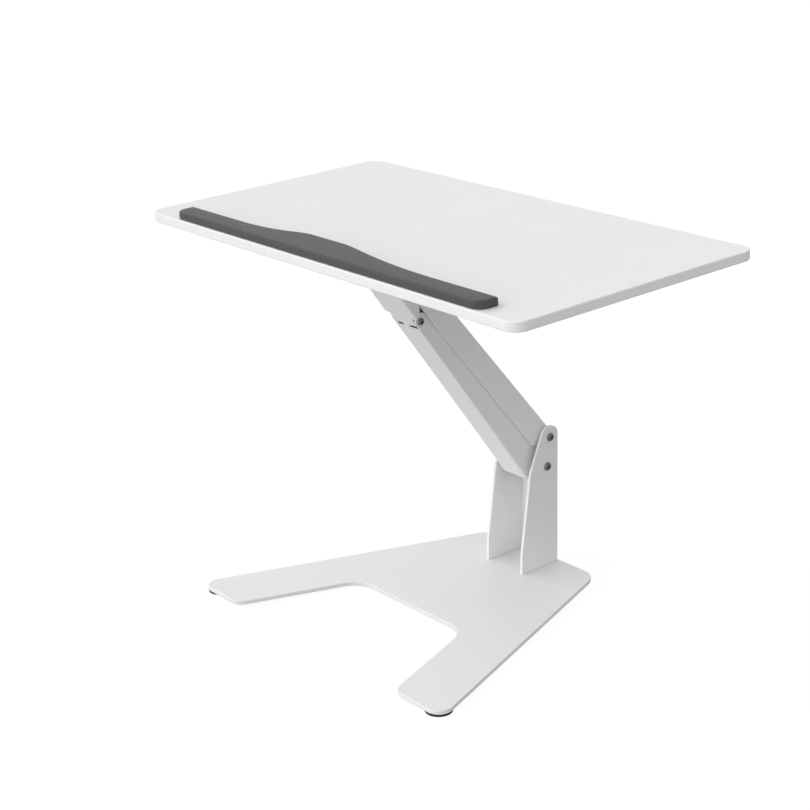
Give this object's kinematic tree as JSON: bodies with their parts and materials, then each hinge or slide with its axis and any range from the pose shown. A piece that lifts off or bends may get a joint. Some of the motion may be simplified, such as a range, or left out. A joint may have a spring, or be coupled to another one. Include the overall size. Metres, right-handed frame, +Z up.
{
  "type": "height-adjustable drawing board",
  "caption": "Flat drawing board with a palm rest, carried by a parallel-arm lift on a V-shaped floor plate, for raising and lowering the work on a desk.",
  "frame": {"origin": "on the desk surface, at the centre of the overall footprint", "axes": "+X to the user's right, +Y away from the user, +Z up"},
  "size_m": [0.7112, 0.4188, 0.5228],
  "materials": {
    "steel_white": "white powder coat, fine satin texture",
    "board_white": "white laminate over engineered wood, matt",
    "pad_grey": "dark grey soft-touch foam, matt",
    "rubber": "black rubber, matt",
    "bolt_dark": "dark zinc plating, satin",
    "zinc": "bright zinc plating, satin",
    "chrome": "polished hard chrome",
    "spring_black": "black paint, semi-gloss",
    "nylon": "natural nylon, matt"
  },
  "bodies": {
    "base": {"base_plate": "steel_white", "column": "steel_white", "foot_front_left": "rubber", "foot_front_right": "rubber", "foot_rear_left": "rubber", "foot_rear_right": "rubber", "lower_pivot_bolt": "bolt_dark", "lower_pivot_nut": "bolt_dark", "lower_pivot_spacer_left": "nylon", "lower_pivot_spacer_right": "nylon", "spring_spacer_left": "nylon", "spring_spacer_right": "nylon", "upper_pivot_bolt": "bolt_dark", "upper_pivot_nut": "bolt_dark", "upper_pivot_spacer_left": "nylon", "upper_pivot_spacer_right": "nylon"},
    "lower_arm": {"head_lower_bolt": "bolt_dark", "head_lower_nut": "bolt_dark", "lower_link": "steel_white"},
    "upper_arm": {"spring_cross_pin": "zinc", "spring_pin_sleeve_left": "nylon", "spring_pin_sleeve_right": "nylon", "upper_link": "steel_white"},
    "head": {"board": "board_white", "board_screw_1": "zinc", "board_screw_2": "zinc", "board_screw_3": "zinc", "board_screw_4": "zinc", "board_screw_5": "zinc", "board_screw_6": "zinc", "bracket_bolt_1": "bolt_dark", "bracket_bolt_2": "bolt_dark", "bracket_bolt_3": "bolt_dark", "bracket_bolt_4": "bolt_dark", "head_bracket": "steel_white", "head_lower_sleeve": "nylon", "head_upper_bolt": "bolt_dark", "head_upper_nut": "bolt_dark", "head_upper_washer_left": "nylon", "head_upper_washer_right": "nylon", "mounting_plate": "steel_white", "palm_rest": "pad_grey"},
    "spring_rod": {"spring_rod": "chrome", "spring_rod_eye": "zinc"},
    "spring_cylinder": {"spring_cylinder": "spring_black", "spring_cylinder_eye": "zinc"}
  },
  "joints": [
    {"name": "arm_lift", "type": "hinge", "parent": "base", "child": "lower_arm", "pos_m": [0, 0.17657, 0.1569], "axis": [1, 0, 0], "range_deg": [-3, 55]},
    {"name": "upper_arm_turn", "type": "hinge", "parent": "base", "child": "upper_arm", "pos_m": [0, 0.18167, 0.1986], "axis": [1, 0, 0], "range_deg": [-3, 55]},
    {"name": "head_level", "type": "hinge", "parent": "lower_arm", "child": "head", "pos_m": [0, -0.03368, 0.40774], "axis": [1, 0, 0], "range_deg": [-55, 3]},
    {"name": "spring_swing", "type": "hinge", "parent": "base", "child": "spring_rod", "pos_m": [0, 0.17657, 0.1569], "axis": [1, 0, 0], "range_deg": [-3, 55]},
    {"name": "spring_stroke", "type": "slide", "parent": "spring_rod", "child": "spring_cylinder", "axis": [0, -0.5781, 0.816], "range_m": [-0.036, 0.002]}
  ],
  "couplings": [
    {"joint": "upper_arm_turn", "follows": "arm_lift", "ratio": 1},
    {"joint": "head_level", "follows": "arm_lift", "ratio": -1},
    {"joint": "spring_swing", "follows": "arm_lift", "ratio": 0.932},
    {"joint": "spring_stroke", "follows": "arm_lift", "m_per_rad": -0.03625}
  ]
}
